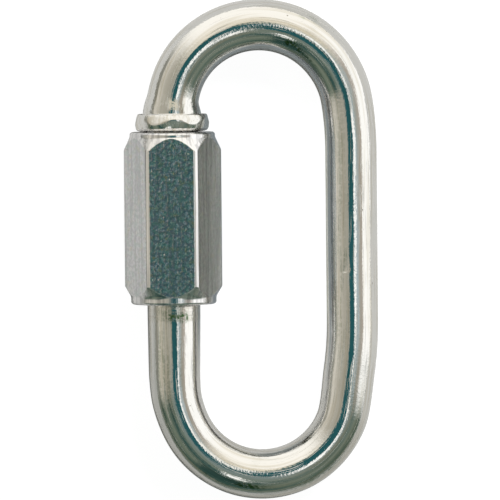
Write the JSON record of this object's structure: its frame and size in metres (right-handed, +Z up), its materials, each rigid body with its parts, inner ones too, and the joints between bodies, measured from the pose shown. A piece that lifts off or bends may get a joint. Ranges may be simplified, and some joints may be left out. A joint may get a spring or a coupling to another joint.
{
  "type": "chain quick link",
  "caption": "Long oval loop of bent round steel bar with a mouth in its leg and a hexagonal sleeve nut that screws across the mouth; joins chain, rope and fittings.",
  "frame": {"origin": "on the plane that the link lies on, under the middle of its box", "axes": "+Y along the link towards the collar and the closed end of the nut, +X from the nut leg towards the back leg, +Z up from the plane"},
  "size_m": [0.0294, 0.0582, 0.01],
  "materials": {
    "bar": "bright zinc plating over drawn bar",
    "nut": "zinc plating over drawn hexagon bar, grainy flats"
  },
  "bodies": {
    "link": {"link_bar": "bar"},
    "nut": {"sleeve_nut": "nut"}
  },
  "joints": [
    {"name": "nut_travel", "type": "slide", "parent": "link", "child": "nut", "axis": [0, -1, 0], "range_m": [0, 0.01]}
  ]
}
